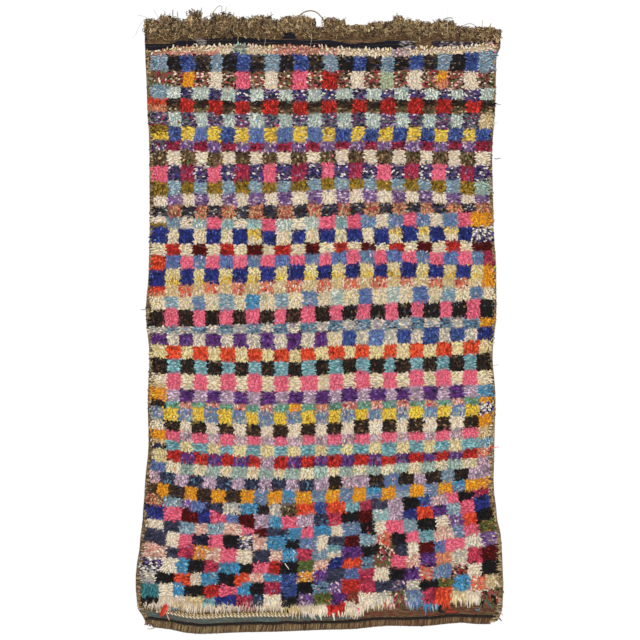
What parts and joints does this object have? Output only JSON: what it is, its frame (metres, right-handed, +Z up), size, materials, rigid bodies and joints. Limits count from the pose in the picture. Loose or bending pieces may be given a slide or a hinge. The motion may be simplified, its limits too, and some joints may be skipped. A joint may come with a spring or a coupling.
{
  "type": "checked pile rug",
  "caption": "Flat hand-knotted wool rug: a checked pile on a woven ground, with a bound closed end, narrow selvedges and a frayed warp fringe at the other end.",
  "frame": {"origin": "on the floor, at the middle of the laid-out rug's bounding box", "axes": "+X across the rug, +Y along it towards the frayed warp end, +Z up out of the pile"},
  "size_m": [1.2913, 2.1795, 0.0178],
  "materials": {
    "pile_wool": "matte wool pile in many dyed colours",
    "warp_yarn": "matte undyed khaki-brown wool and goat hair yarn"
  },
  "bodies": {
    "root": {"rug": "pile_wool", "warp_fringe": "warp_yarn"}
  },
  "joints": []
}
